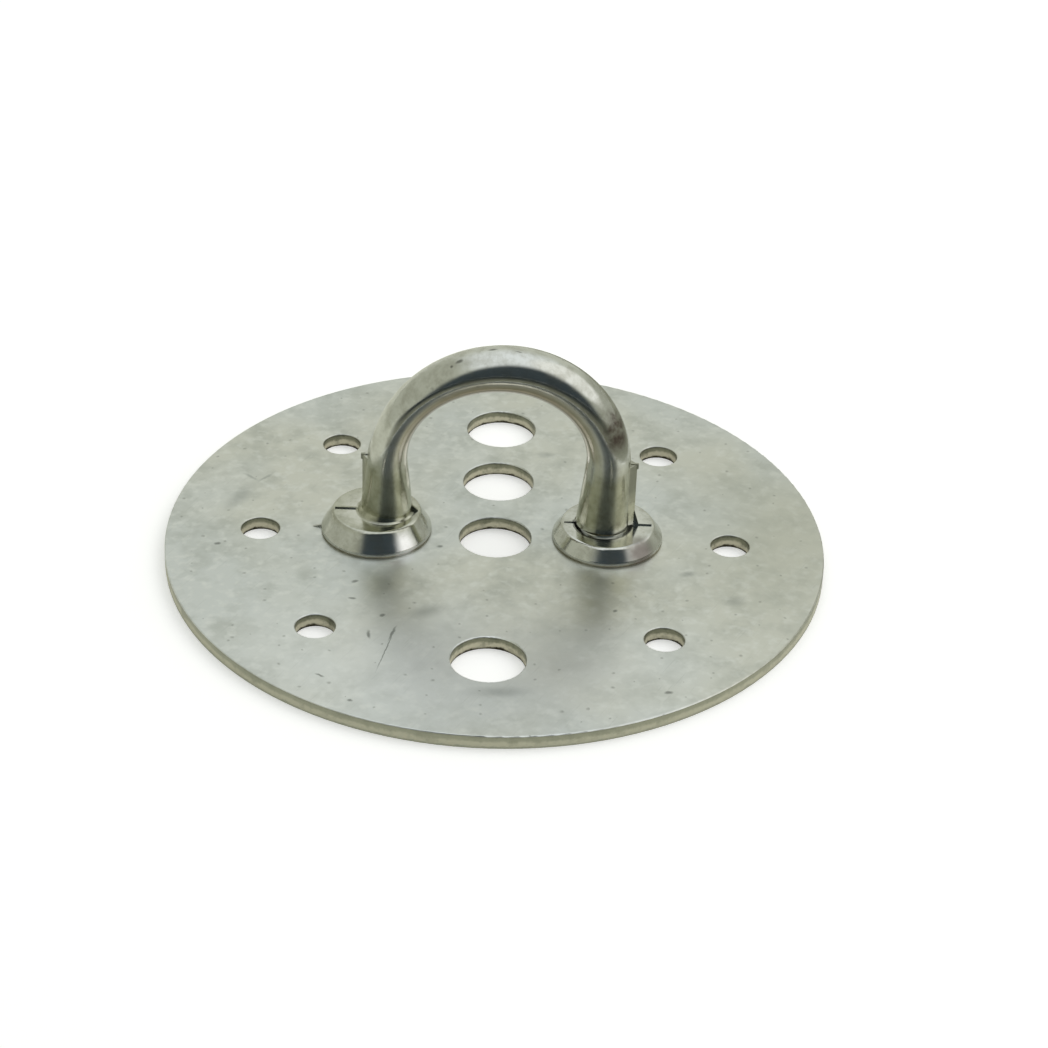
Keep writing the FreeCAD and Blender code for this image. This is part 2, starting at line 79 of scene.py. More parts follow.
def aim_camera():
    """Place the camera so that the plate's centre lands on its pixel."""
    back = Vector((
        math.sin(AZIMUTH) * math.cos(ELEVATION),
        -math.cos(AZIMUTH) * math.cos(ELEVATION),
        math.sin(ELEVATION),
    ))
    level = Vector((math.cos(AZIMUTH), math.sin(AZIMUTH), 0.0))
    rise = back.cross(level)
    across = math.cos(ROLL) * level + math.sin(ROLL) * rise
    upward = -math.sin(ROLL) * level + math.cos(ROLL) * rise
    metres_per_pixel = DISTANCE * SENSOR_MM / (FOCAL_LENGTH_MM * PHOTO_SIZE)
    side = (PLATE_CENTRE_PIXEL[0] - PHOTO_SIZE / 2) * metres_per_pixel
    lift = (PHOTO_SIZE / 2 - PLATE_CENTRE_PIXEL[1]) * metres_per_pixel
    plate_centre = Vector((0, 0, PLATE_TOP * MM))
    place = plate_centre + back * DISTANCE - across * side - upward * lift
    data = bpy.data.cameras.new("photo_camera")
    data.sensor_width = SENSOR_MM
    data.lens = FOCAL_LENGTH_MM
    data.clip_start = NEAREST_VIEW
    data.clip_end = FARTHEST_VIEW
    camera = bpy.data.objects.new("photo_camera", data)
    turn = Matrix((across, upward, back)).transposed().to_4x4()
    camera.matrix_world = Matrix.Translation(place) @ turn
    bpy.context.scene.collection.objects.link(camera)
    bpy.context.scene.camera = camera
    return camera


camera = aim_camera()
print("camera at", [round(value, 3) for value in camera.location])

# %% [markdown]
# ## Helpers for materials
#
# A colour is written as it looks on a screen, so one function turns it into the
# linear value that the renderer works with, by the rule of the sRGB standard.

# %% Colours
SRGB_KNEE = 0.04045
SRGB_SLOPE = 12.92
SRGB_LIFT = 0.055
SRGB_POWER = 2.4
FULL_BYTE = 255
OPAQUE = 1.0


def linear(code):
    """Turn an sRGB hex colour into linear red, green, blue and alpha."""
    values = []
    for place in (1, 3, 5):
        part = int(code[place:place + 2], 16) / FULL_BYTE
        if part <= SRGB_KNEE:
            values.append(part / SRGB_SLOPE)
        else:
            values.append(((part + SRGB_LIFT) / (1 + SRGB_LIFT)) ** SRGB_POWER)
    return (*values, OPAQUE)


print("middle grey is", [round(value, 3) for value in linear("#808080")])

# %% [markdown]
# Every node is added by one helper, which sets its options and fills its inputs.
# An input takes a value, another node's output, or a node, which stands for its
# first output in use. Many sockets of one node share a name, and only those in
# use are enabled, so the helper asks for those.

# %% Nodes
def add_node(tree, kind, inputs=None, **settings):
    """Add a node, set its options, and fill its inputs with values, outputs or nodes."""
    node = tree.nodes.new(kind)
    for name, value in settings.items():
        setattr(node, name, value)
    for key, value in (inputs or {}).items():
        if isinstance(key, int):
            socket = node.inputs[key]
        else:
            socket = next(item for item in node.inputs if item.enabled and item.name == key)
        if isinstance(value, bpy.types.Node):
            value = next(item for item in value.outputs if item.enabled)
        if isinstance(value, bpy.types.NodeSocket):
            tree.links.new(value, socket)
        else:
            socket.default_value = value
    return node


def new_material(name):
    """Return an empty node material and its tree."""
    material = bpy.data.materials.new(name)
    material.use_nodes = True
    material.node_tree.nodes.clear()
    return material, material.node_tree


print("helpers for nodes and materials are ready")

# %% [markdown]
# A pattern's scale comes from the real size of what it draws: a texture that
# repeats every millimetre has a scale of 1000 in metres.
#
# Real marks have ragged outlines. A pattern that is read at a slightly shifted
# place gets one, so a noise that moves the place by a fraction of a millimetre
# is made once for each metal and shared by all its marks.

# %% Scales and ragged outlines
def scale_for(size_mm):
    """Return the texture scale whose pattern repeats about every size_mm."""
    return 1.0 / (size_mm * MM)


def ragged(tree, place, size_mm, shift_mm):
    """Return the place, pushed about by a noise of one size."""
    push = add_node(tree, "ShaderNodeTexNoise", {
        "Vector": place, "Scale": scale_for(size_mm), "Detail": 2.0})
    return add_node(tree, "ShaderNodeVectorMath", {
        0: push.outputs["Color"], 1: (shift_mm * MM,) * 3, 2: place}, operation="MULTIPLY_ADD")


print("a 2 mm pattern has scale", scale_for(2))

# %% [markdown]
# A single mark, such as a scratch, sits at one place on the metal. It is drawn
# as a stretched ball: the Mapping node brings the ball's middle to the origin,
# turns it and divides by its half sizes, so that its surface is at distance 1.
# From there the mark grows stronger inwards, and it is full inside its core. A
# core of 0 makes a soft patch, and a larger one a firmer mark.

# %% One mask for a set of marks
SOFT_CORE = 0.0
MARK_CORE = 0.3
STAIN_CORE = 0.4
FIRM_CORE = 0.6


def marks_mask(tree, place, marks, core=MARK_CORE):
    """Return a mask that is 1 inside any mark, given as middle, turn and half sizes in mm."""
    whole = None
    for middle, turn, half_sizes in marks.values():
        local = add_node(tree, "ShaderNodeMapping", {
            "Vector": place, "Location": [size * MM for size in middle],
            "Rotation": (0.0, 0.0, math.radians(turn)),
            "Scale": [size * MM for size in half_sizes]}, vector_type="TEXTURE")
        away = add_node(tree, "ShaderNodeVectorMath", {0: local}, operation="LENGTH")
        mark = add_node(tree, "ShaderNodeMapRange", {
            "Value": away, "From Min": 1.0, "From Max": core}, interpolation_type="SMOOTHSTEP")
        if whole is None:
            whole = mark
        else:
            whole = add_node(tree, "ShaderNodeMath", {0: whole, 1: mark}, operation="MAXIMUM")
    return whole


print("most marks are full inside", MARK_CORE, "of their half sizes")

# %% [markdown]
# Both metals end in the same way. Thin layers of smears, stains, wear, scratches,
# and painted light and shade are laid over the clean colour, each with its own
# strength and colour. Then comes a fully metallic surface with a shallow bump,
# whose depth is in millimetres.

# %% Layers and the metal surface
BUMP_STRENGTH = 0.2


def lay_over(tree, colour, layers, masks):
    """Lay each layer's colour over the metal, where its mask is."""
    for name, (strength, code) in layers.items():
        amount = add_node(tree, "ShaderNodeMath", {0: masks[name], 1: strength}, operation="MULTIPLY")
        colour = add_node(tree, "ShaderNodeMix", {
            "Factor": amount, "A": colour, "B": linear(code)}, data_type="RGBA")
    return colour


def end_in_metal(tree, colour, roughness, relief, depth_mm):
    """End a material's nodes with bare metal and its bump."""
    bump = add_node(tree, "ShaderNodeBump", {
        "Height": relief, "Strength": BUMP_STRENGTH, "Distance": depth_mm * MM})
    surface = add_node(tree, "ShaderNodeBsdfPrincipled", {
        "Base Color": colour, "Metallic": 1.0, "Roughness": roughness, "Normal": bump})
    add_node(tree, "ShaderNodeOutputMaterial", {"Surface": surface})


print("bumps have a strength of", BUMP_STRENGTH)

# %% [markdown]
# ## Dull zinc on the sheet
#
# The disc is punched from mild steel sheet and zinc plated in a barrel. Barrel
# plating is thin and a little cloudy: it mirrors what stands near, such as the
# feet of the loop, but blurs it. So it is a metal with middling roughness. Its
# tint drifts from bluish to straw over a centimetre or two, and a darker mottle
# of a few millimetres and a pale bloom of about one millimetre lie over that.

# %% Tint of the sheet
DRIFT_SIZE = 22
DRIFT_RANGE = (0.38, 0.62)
BLUISH_ZINC = "#DCE0DE"
STRAW_ZINC = "#DEDFD6"
MOTTLE_SIZE = 3.2
MOTTLE_RANGE = (0.42, 0.72)
MOTTLE_STRENGTH = 0.55
MOTTLE_GREY = "#B4B8AF"
BLOOM_SIZE = 1.1
BLOOM_RANGE = (0.5, 0.75)
BLOOM_STRENGTH = 0.5
BLOOM_WHITE = "#F2F4F0"


def sheet_tint(tree, place):
    """Return the colour of clean plated sheet and the mottle that it follows."""
    drift = add_node(tree, "ShaderNodeTexNoise", {
        "Vector": place, "Scale": scale_for(DRIFT_SIZE), "Detail": 2.0, "Roughness": 0.5})
    warm = add_node(tree, "ShaderNodeMapRange", {
        "Value": drift.outputs["Fac"], "From Min": DRIFT_RANGE[0], "From Max": DRIFT_RANGE[1],
    }, interpolation_type="SMOOTHSTEP")
    tint = add_node(tree, "ShaderNodeMix", {
        "Factor": warm, "A": linear(BLUISH_ZINC), "B": linear(STRAW_ZINC)}, data_type="RGBA")
    mottle = add_node(tree, "ShaderNodeTexNoise", {
        "Vector": place, "Scale": scale_for(MOTTLE_SIZE), "Detail": 3.0, "Roughness": 0.55})
    cloud = add_node(tree, "ShaderNodeMapRange", {
        "Value": mottle.outputs["Fac"], "From Min": MOTTLE_RANGE[0], "From Max": MOTTLE_RANGE[1],
        "To Max": MOTTLE_STRENGTH})
    tint = add_node(tree, "ShaderNodeMix", {
        "Factor": cloud, "A": tint, "B": linear(MOTTLE_GREY)}, data_type="RGBA")
    bloom = add_node(tree, "ShaderNodeTexNoise", {
        "Vector": place, "Scale": scale_for(BLOOM_SIZE), "Detail": 2.0, "Roughness": 0.5})
    pale = add_node(tree, "ShaderNodeMapRange", {
        "Value": bloom.outputs["Fac"], "From Min": BLOOM_RANGE[0], "From Max": BLOOM_RANGE[1],
        "To Max": BLOOM_STRENGTH})
    tint = add_node(tree, "ShaderNodeMix", {
        "Factor": pale, "A": tint, "B": linear(BLOOM_WHITE)}, data_type="RGBA")
    return tint, mottle.outputs["Fac"]


print("the sheet's mottle is", MOTTLE_SIZE, "mm and its bloom", BLOOM_SIZE, "mm")

# %% [markdown]
# Zinc keeps every knock. There are pits a few tenths of a millimetre wide: a
# Voronoi pattern divides the sheet into cells of 2.6 mm, and about a third of
# them get a pit in the middle.

# %% Pits
SHEET_PIT_CELL = 2.6
SHEET_PIT_RADII = (0.1, 0.28)
SHEET_PIT_LUCK = 0.66


def pits(tree, place, cell_mm, radii, least_luck, dimensions="2D"):
    """Return a mask of small pits, one in each Voronoi cell with enough luck."""
    cells = add_node(tree, "ShaderNodeTexVoronoi", {
        "Vector": place, "Scale": scale_for(cell_mm)}, voronoi_dimensions=dimensions)
    luck = add_node(tree, "ShaderNodeSeparateColor", {"Color": cells.outputs["Color"]})
    radius = add_node(tree, "ShaderNodeMapRange", {
        "Value": luck, "From Min": least_luck, "From Max": 1.0,
        "To Min": radii[0] / cell_mm, "To Max": radii[1] / cell_mm})
    has_pit = add_node(tree, "ShaderNodeMath", {0: luck, 1: least_luck}, operation="GREATER_THAN")
    nearness = add_node(tree, "ShaderNodeMapRange", {
        "Value": cells.outputs["Distance"], "From Min": radius, "From Max": 0.0})
    return add_node(tree, "ShaderNodeMath", {0: nearness, 1: has_pit}, operation="MULTIPLY")


print("pits up to", 2 * SHEET_PIT_RADII[1], "mm wide")

# %% [markdown]
# Hair scratches run for some millimetres and are a few hundredths wide. That is
# too fine for the render, so they are drawn about a tenth of a millimetre wide.
# Each comes from a noise that is stretched nearly thirty times along the
# scratch, of which only the highest crests show. A set of hairs is its turn in
# degrees, and its width and length in millimetres.

# %% Hair scratches
HAIR_CRESTS = (0.66, 0.78)
DARK_HAIRS = (62, 0.14, 4.0)
BRIGHT_HAIRS = (128, 0.12, 3.0)


def hair_scratches(tree, place, turn, width_mm, length_mm):
    """Return a mask of fine scratches that run in one direction."""
    along = add_node(tree, "ShaderNodeMapping", {
        "Vector": place, "Rotation": (0.0, 0.0, math.radians(turn)),
        "Scale": (length_mm * MM, width_mm * MM, length_mm * MM)}, vector_type="TEXTURE")
    hairs = add_node(tree, "ShaderNodeTexNoise", {"Vector": along, "Scale": 1.0, "Detail": 1.0})
    return add_node(tree, "ShaderNodeMapRange", {
        "Value": hairs.outputs["Fac"], "From Min": HAIR_CRESTS[0], "From Max": HAIR_CRESTS[1]})


print("hairs lie at", DARK_HAIRS[0], "and", BRIGHT_HAIRS[0], "degrees")

# %% [markdown]
# The rest has its own place on the sheet: single scratches and pits, faint
# smears and a duller side on the right. The pale places in front and round the
# collars are painted light, a sheen laid into the colour. Each is a middle, a
# turn in degrees and half sizes, in millimetres. Where a name says streak, it
# means the dark reflection of a leg that the mark lies beside.

# %% Marks on the sheet
SHEET_MARKS = {
    "speck by the left streak": ((-14.3, -9.4, PLATE_TOP), 30, (0.5, 0.3, 1.0)),
    "speck in front of it": ((-14.4, -12.5, PLATE_TOP), 0, (0.6, 0.25, 1.0)),
    "speck in the left streak": ((-11.0, -15.4, PLATE_TOP), 60, (0.5, 0.35, 1.0)),
    "speck near the left hole": ((-29.5, -3.2, PLATE_TOP), 20, (0.5, 0.35, 1.0)),
    "long scratch": ((-10.3, -21.5, PLATE_TOP), 79, (4.9, 0.1, 1.0)),
    "its deep end": ((-9.8, -18.6, PLATE_TOP), 76, (1.9, 0.2, 1.0)),
    "dent beside it": ((-12.2, -18.9, PLATE_TOP), 100, (1.0, 0.3, 1.0)),
    "pit by the left foot": ((-5.7, -2.1, PLATE_TOP), 20, (0.5, 0.4, 1.0)),
    "pit near the left rim": ((-16.6, -26.3, PLATE_TOP), 150, (0.7, 0.2, 1.0)),
    "pit near the front rim": ((-13.3, -30.3, PLATE_TOP), 0, (0.35, 0.3, 1.0)),
    "pit near the right rim": ((18.4, -27.0, PLATE_TOP), 10, (0.6, 0.35, 1.0)),
    "pit by the right streak": ((13.1, -13.0, PLATE_TOP), 60, (0.4, 0.3, 1.0)),
}
# Painted light: a pale sheen round the collars and over the front of the plate.
SHEET_PAINTED_LIGHT = {
    "round the left collar": ((-11.9, -4.6, PLATE_TOP), 0, (5.6, 1.8, 1.0)),
    "round the right collar": ((11.9, -4.6, PLATE_TOP), 0, (5.6, 1.8, 1.0)),
    "front field": ((-4.0, -23.0, PLATE_TOP), 0, (34.0, 17.0, 1.0)),
}
SHEET_DULL = {
    "right side": ((31.0, 3.0, PLATE_TOP), 0, (17.0, 27.0, 1.0)),
}
SHEET_SMUDGES = {
    "smear near the left rim": ((-25.7, 10.4, PLATE_TOP), 53, (1.9, 0.3, 1.0)),
    "smear across it": ((-27.3, 10.4, PLATE_TOP), -39, (1.7, 0.3, 1.0)),
    "stain behind the left hole": ((-28.2, 6.0, PLATE_TOP), 70, (4.0, 1.4, 1.0)),
    "near the right foot": ((20.9, -5.6, PLATE_TOP), 20, (1.3, 0.8, 1.0)),
    "behind the loop": ((5.4, 17.4, PLATE_TOP), 0, (1.6, 1.0, 1.0)),
    "right of the right foot": ((25.8, -10.3, PLATE_TOP), 40, (1.8, 1.3, 1.0)),
    "left of the front hole": ((-6.5, -14.5, PLATE_TOP), 30, (3.0, 1.6, 1.0)),
    "below the front hole": ((1.5, -28.0, PLATE_TOP), 5, (4.5, 1.4, 1.0)),
}
print(len(SHEET_MARKS), "marks and", len(SHEET_SMUDGES), "smudges on the sheet")

# %% [markdown]
# A punched edge tells how it was cut. Under the rolled lip comes a dark band
# that the punch burnished, then a paler, ragged band where the sheet broke, and
# at the back a thin line that is dark in the holes and pale on the rim. The
# bands follow the height above the back face, and patches of bare steel lie
# over them. The rim is paler than the walls of the holes. A band is the height
# where it starts, half the height of its soft step, and its colour from there up.

# %% Cut edges of the sheet
CUT_LIP = 1.25
CUT_BREAK = 0.8
CUT_BOTTOM_LINE = 0.2
CUT_BANDS = (
    (CUT_BOTTOM_LINE, 0.12, "#C9C5AE"),
    (CUT_BREAK, 0.2, "#8A8B76"),
    (CUT_LIP, 0.1, "#6C6F60"),
)
CUT_RAGGED_SIZE = 1.6
CUT_RAGGED_RANGE = (0.25, 0.75)
CUT_RAGGED_SHIFT = 0.22
# The thin line at the foot of each wall: dark in the holes and pale on the rim.
BOTTOM_LINE_IN_HOLES = "#3C392B"
BOTTOM_LINE_ON_RIM = "#8E9080"
BARE_STEEL = "#5E604E"
BARE_RANGE = (0.5, 0.75)
BARE_STRENGTH = 0.7
RIM_PALE_TONE = "#B4B5A0"
RIM_PALE_SHARE = 0.55


def cut_edge_colour(tree, place, rim):
    """Return the colours of a punched wall from its back face up to its lip."""
    wander = add_node(tree, "ShaderNodeTexNoise", {
        "Vector": place, "Scale": scale_for(CUT_RAGGED_SIZE), "Detail": 4.0, "Roughness": 0.7})
    shift = add_node(tree, "ShaderNodeMapRange", {
        "Value": wander.outputs["Fac"], "From Min": CUT_RAGGED_RANGE[0], "From Max": CUT_RAGGED_RANGE[1],
        "To Min": -CUT_RAGGED_SHIFT * MM, "To Max": CUT_RAGGED_SHIFT * MM})
    height = add_node(tree, "ShaderNodeSeparateXYZ", {"Vector": place}).outputs["Z"]
    level = add_node(tree, "ShaderNodeMath", {0: height, 1: shift}, operation="ADD")
    colour = add_node(tree, "ShaderNodeMix", {
        "Factor": rim, "A": linear(BOTTOM_LINE_IN_HOLES), "B": linear(BOTTOM_LINE_ON_RIM)}, data_type="RGBA")
    for start, softness, code in CUT_BANDS:
        reached = add_node(tree, "ShaderNodeMapRange", {
            "Value": level, "From Min": (start - softness) * MM, "From Max": (start + softness) * MM,
        }, interpolation_type="SMOOTHSTEP")
        colour = add_node(tree, "ShaderNodeMix", {
            "Factor": reached, "A": colour, "B": linear(code)}, data_type="RGBA")
    bare = add_node(tree, "ShaderNodeMapRange", {
        "Value": wander.outputs["Fac"], "From Min": BARE_RANGE[0], "From Max": BARE_RANGE[1],
        "To Max": BARE_STRENGTH})
    colour = add_node(tree, "ShaderNodeMix", {
        "Factor": bare, "A": colour, "B": linear(BARE_STEEL)}, data_type="RGBA")
    rim_share = add_node(tree, "ShaderNodeMath", {0: rim, 1: RIM_PALE_SHARE}, operation="MULTIPLY")
    return add_node(tree, "ShaderNodeMix", {
        "Factor": rim_share, "A": colour, "B": linear(RIM_PALE_TONE)}, data_type="RGBA")


print("cut edge bands start at", CUT_BOTTOM_LINE, CUT_BREAK, CUT_LIP, "mm")

# %% [markdown]
# Two more masks say where those colours belong. The object's own normal points
# sideways on a wall and up or down on a face. The rim is the wall that lies
# farthest from the middle: a place whose height is multiplied by 0 is as long
# as its distance from the plate's axis.

# %% Walls and rim
FLATTEN = (1.0, 1.0, 0.0)
WALL_SLOPES = (0.35, 0.1)
RIM_WIDTH = 0.4


def where_is_wall(tree, normal):
    """Return 1 on upright walls of the sheet and 0 on its faces."""
    upright = add_node(tree, "ShaderNodeSeparateXYZ", {"Vector": normal})
    slope = add_node(tree, "ShaderNodeMath", {0: upright.outputs["Z"]}, operation="ABSOLUTE")
    return add_node(tree, "ShaderNodeMapRange", {
        "Value": slope, "From Min": WALL_SLOPES[0], "From Max": WALL_SLOPES[1]})


def where_is_rim(tree, place):
    """Return 1 on the plate's rim and 0 nearer the middle."""
    flat = add_node(tree, "ShaderNodeVectorMath", {0: place, 1: FLATTEN}, operation="MULTIPLY")
    radius = add_node(tree, "ShaderNodeVectorMath", {0: flat}, operation="LENGTH")
    return add_node(tree, "ShaderNodeMath", {
        0: radius, 1: (PLATE_RADIUS - RIM_WIDTH) * MM}, operation="GREATER_THAN")


print("the rim starts", round(PLATE_RADIUS - RIM_WIDTH, 2), "mm from the middle")

# %% [markdown]
# The sheet's material puts these together. A layer is a strength and a colour,
# and the later ones lie on top. The mottle moves the roughness a little, and a
# shallow bump of grain and orange peel, a few thousandths of a millimetre deep,
# breaks up the reflections. The marks' outlines are ragged by a noise of 0.7 mm
# that moves them by up to 0.35 mm.

# %% Zinc plated sheet
SHEET_RAGGED = (0.7, 0.35)
SHEET_LAYERS = {
    # The rubbed layer is painted light: a pale sheen in front and round the collars.
    "rubbed": (0.6, "#F6F9FA"),
    "dull": (0.5, "#C0C1B2"),
    "smudges": (0.42, "#7F8683"),
    "dark hairs": (0.12, "#8D918C"),
    "bright hairs": (0.1, "#EEF0EC"),
    "pits": (0.5, "#6F7068"),
    "marks": (0.62, "#50544E"),
}
SHEET_ROUGHNESS = (0.3, 0.4)
ROUGHNESS_RANGE = (0.35, 0.7)
WALL_ROUGHNESS = 0.55
GRAIN_SIZE = 0.4
MOTTLE_RELIEF = 3.0
SHEET_BUMP = 0.02


def zinc_sheet():
    """Make the material of barrel plated sheet."""
    material, tree = new_material("barrel_plated_zinc_sheet")
    coordinates = add_node(tree, "ShaderNodeTexCoord")
    place = coordinates.outputs["Object"]
    rough_place = ragged(tree, place, *SHEET_RAGGED)

    tint, mottle = sheet_tint(tree, place)
    small_pits = pits(tree, rough_place, SHEET_PIT_CELL, SHEET_PIT_RADII, SHEET_PIT_LUCK)
    masks = {
        # The rubbed mask is where light is painted on the sheet, in front and round the collars.
        "rubbed": marks_mask(tree, rough_place, SHEET_PAINTED_LIGHT, SOFT_CORE),
        "dull": marks_mask(tree, rough_place, SHEET_DULL, SOFT_CORE),
        "smudges": marks_mask(tree, rough_place, SHEET_SMUDGES, SOFT_CORE),
        "dark hairs": hair_scratches(tree, place, *DARK_HAIRS),
        "bright hairs": hair_scratches(tree, place, *BRIGHT_HAIRS),
        "pits": small_pits,
        "marks": marks_mask(tree, rough_place, SHEET_MARKS),
    }
    colour = lay_over(tree, tint, SHEET_LAYERS, masks)

    wall = where_is_wall(tree, coordinates.outputs["Normal"])
    edge = cut_edge_colour(tree, place, where_is_rim(tree, place))
    colour = add_node(tree, "ShaderNodeMix", {"Factor": wall, "A": colour, "B": edge}, data_type="RGBA")

    plated = add_node(tree, "ShaderNodeMapRange", {
        "Value": mottle, "From Min": ROUGHNESS_RANGE[0], "From Max": ROUGHNESS_RANGE[1],
        "To Min": SHEET_ROUGHNESS[0], "To Max": SHEET_ROUGHNESS[1]})
    roughness = add_node(tree, "ShaderNodeMix", {"Factor": wall, "A": plated, "B": WALL_ROUGHNESS})

    grain = add_node(tree, "ShaderNodeTexNoise", {
        "Vector": place, "Scale": scale_for(GRAIN_SIZE), "Detail": 3.0, "Roughness": 0.6})
    relief = add_node(tree, "ShaderNodeMath", {
        0: mottle, 1: MOTTLE_RELIEF, 2: grain.outputs["Fac"]}, operation="MULTIPLY_ADD")
    relief = add_node(tree, "ShaderNodeMath", {0: relief, 1: small_pits}, operation="SUBTRACT")
    end_in_metal(tree, colour, roughness, relief, SHEET_BUMP)
    return material


sheet_material = zinc_sheet()
print("made", sheet_material.name, "with", len(sheet_material.node_tree.nodes), "nodes")

# %% [markdown]
# ## Bright zinc on the rod
#
# The rod was drawn through a die before it was bent, so its skin is far smoother
# than the sheet and mirrors the room almost sharply. The lower legs were held
# by the forging dies: there the metal is darker, and the plating over it has an
# olive cast. The change runs across each leg as a soft, uneven line about 9 mm
# over the plate. The inside of the bow was rubbed brown by the bending mandrel,
# which shows where the rod's skin turns down.

# %% Where the tools held the rod
GRIP_TOP = 10.8
GRIP_FADE = 1.6
GRIP_FOOT = 3.9
GRIP_FOOT_FADE = 0.4
GRIP_RAGGED_SIZE = 3.5
GRIP_RAGGED_RANGE = (0.3, 0.7)
GRIP_RAGGED_SHIFT = 1.2


def where_gripped(tree, place):
    """Return 1 on the dull lower legs and 0 on the bright bow and collars."""
    wander = add_node(tree, "ShaderNodeTexNoise", {
        "Vector": place, "Scale": scale_for(GRIP_RAGGED_SIZE), "Detail": 3.0})
    shift = add_node(tree, "ShaderNodeMapRange", {
        "Value": wander.outputs["Fac"], "From Min": GRIP_RAGGED_RANGE[0], "From Max": GRIP_RAGGED_RANGE[1],
        "To Min": -GRIP_RAGGED_SHIFT * MM, "To Max": GRIP_RAGGED_SHIFT * MM})
    height = add_node(tree, "ShaderNodeSeparateXYZ", {"Vector": place}).outputs["Z"]
    level = add_node(tree, "ShaderNodeMath", {0: height, 1: shift}, operation="ADD")
    below = add_node(tree, "ShaderNodeMapRange", {
        "Value": level, "From Min": (GRIP_TOP + GRIP_FADE) * MM, "From Max": (GRIP_TOP - GRIP_FADE) * MM,
    }, interpolation_type="SMOOTHSTEP")
    above = add_node(tree, "ShaderNodeMapRange", {
        "Value": height, "From Min": (GRIP_FOOT - GRIP_FOOT_FADE) * MM,
        "From Max": (GRIP_FOOT + GRIP_FOOT_FADE) * MM})
    return add_node(tree, "ShaderNodeMath", {0: below, 1: above}, operation="MULTIPLY")


def where_turned_down(tree, normal, start, end):
    """Return 0 to 1 as the rod's skin turns from one upward slope to a lower one."""
    slope = add_node(tree, "ShaderNodeSeparateXYZ", {"Vector": normal}).outputs["Z"]
    return add_node(tree, "ShaderNodeMapRange", {
        "Value": slope, "From Min": start, "From Max": end}, interpolation_type="SMOOTHSTEP")


print("the grip ends", GRIP_TOP, "mm over the back face")

# %% [markdown]
# The dies also squeezed metal out. Thin ridges run down the outside of each leg,
# with a burr at the top, and that flash is matt and paler than the rod. Round
# the front of the right foot the metal folded without welding, which left a dark
# cold seam. The edge of each collar is rubbed matt where it meets the plate.

# %% Flash, collar feet and seam
FLASH_START = 14.1
FLASH_FADE = 0.1
FLASH_HEIGHTS = (6.0, 8.0)
RUBBED_HEIGHTS = (0.5, 0.3)
SEAM_MIDDLE = (11.7, 0.8, 0.0)
SEAM_RADIUS = 3.0
SEAM_HALF_WIDTH = 0.28
SEAM_TOP = 3.3
SEAM_HALF_HEIGHT = 0.35
SEAM_BACK = 1.4


def where_flash(tree, place):
    """Return 1 on the ridges and burrs that stand out beyond the legs."""
    parts = add_node(tree, "ShaderNodeSeparateXYZ", {"Vector": place})
    sideways = add_node(tree, "ShaderNodeMath", {0: parts.outputs["X"]}, operation="ABSOLUTE")
    outside = add_node(tree, "ShaderNodeMapRange", {
        "Value": sideways, "From Min": (FLASH_START - FLASH_FADE) * MM,
        "From Max": (FLASH_START + FLASH_FADE) * MM})
    over_collar = add_node(tree, "ShaderNodeMapRange", {
        "Value": parts.outputs["Z"], "From Min": FLASH_HEIGHTS[0] * MM,
        "From Max": FLASH_HEIGHTS[1] * MM})
    return add_node(tree, "ShaderNodeMath", {0: outside, 1: over_collar}, operation="MULTIPLY")


def where_collar_foot(tree, place):
    """Return 1 on the rubbed edge where a collar meets the plate."""
    height = add_node(tree, "ShaderNodeSeparateXYZ", {"Vector": place}).outputs["Z"]
    return add_node(tree, "ShaderNodeMapRange", {
        "Value": height, "From Min": (PLATE_TOP + RUBBED_HEIGHTS[0]) * MM,
        "From Max": (PLATE_TOP + RUBBED_HEIGHTS[1]) * MM})


def where_seam(tree, place):
    """Return 1 along the cold seam round the front of the right foot."""
    flat = add_node(tree, "ShaderNodeVectorMath", {0: place, 1: FLATTEN}, operation="MULTIPLY")
    middle = [size * MM for size in SEAM_MIDDLE]
    radius = add_node(tree, "ShaderNodeVectorMath", {0: flat, 1: middle}, operation="DISTANCE")
    ring = add_node(tree, "ShaderNodeMath", {
        0: radius, 1: SEAM_RADIUS * MM, 2: SEAM_HALF_WIDTH * MM}, operation="COMPARE")
    parts = add_node(tree, "ShaderNodeSeparateXYZ", {"Vector": place})
    level = add_node(tree, "ShaderNodeMath", {
        0: parts.outputs["Z"], 1: SEAM_TOP * MM, 2: SEAM_HALF_HEIGHT * MM}, operation="COMPARE")
    front = add_node(tree, "ShaderNodeMath", {
        0: parts.outputs["Y"], 1: SEAM_BACK * MM}, operation="LESS_THAN")
    at_lip = add_node(tree, "ShaderNodeMath", {0: ring, 1: level}, operation="MULTIPLY")
    return add_node(tree, "ShaderNodeMath", {0: at_lip, 1: front}, operation="MULTIPLY")


print("flash starts", FLASH_START, "mm to each side")

# %% [markdown]
# Single marks on the rod are balls too, so a mark on a round skin needs no
# unwrapping: it is wherever its ball cuts the metal. Each middle lies near the
# skin, in millimetres from the plate's centre and its back face.

# %% Marks on the rod
ROD_PITS = {
    "left of the top": ((-4.1, -0.1, 23.4), 10, (0.5, 0.3, 0.6)),
    "beside it": ((-4.9, -0.4, 23.0), 0, (0.25, 0.2, 0.5)),
    "on the top": ((-0.7, 0.8, 24.3), 0, (0.7, 0.25, 0.5)),
    "right of the top": ((2.0, 0.5, 24.3), 0, (0.5, 0.15, 0.5)),
}
ROD_STAINS = {
    "right shoulder": ((12.5, -0.6, 16.2), 0, (2.0, 2.0, 3.6)),
}
COLLAR_STAINS = {
    "right front of the right collar": ((15.6, -2.9, 2.4), 0, (2.4, 2.6, 1.9)),
}
# Painted highlight: a white glint on the right front of the left collar.
COLLAR_HIGHLIGHT = {
    "right front of the left collar": ((-9.7, -3.4, 2.5), 0, (2.0, 1.8, 1.6)),
}
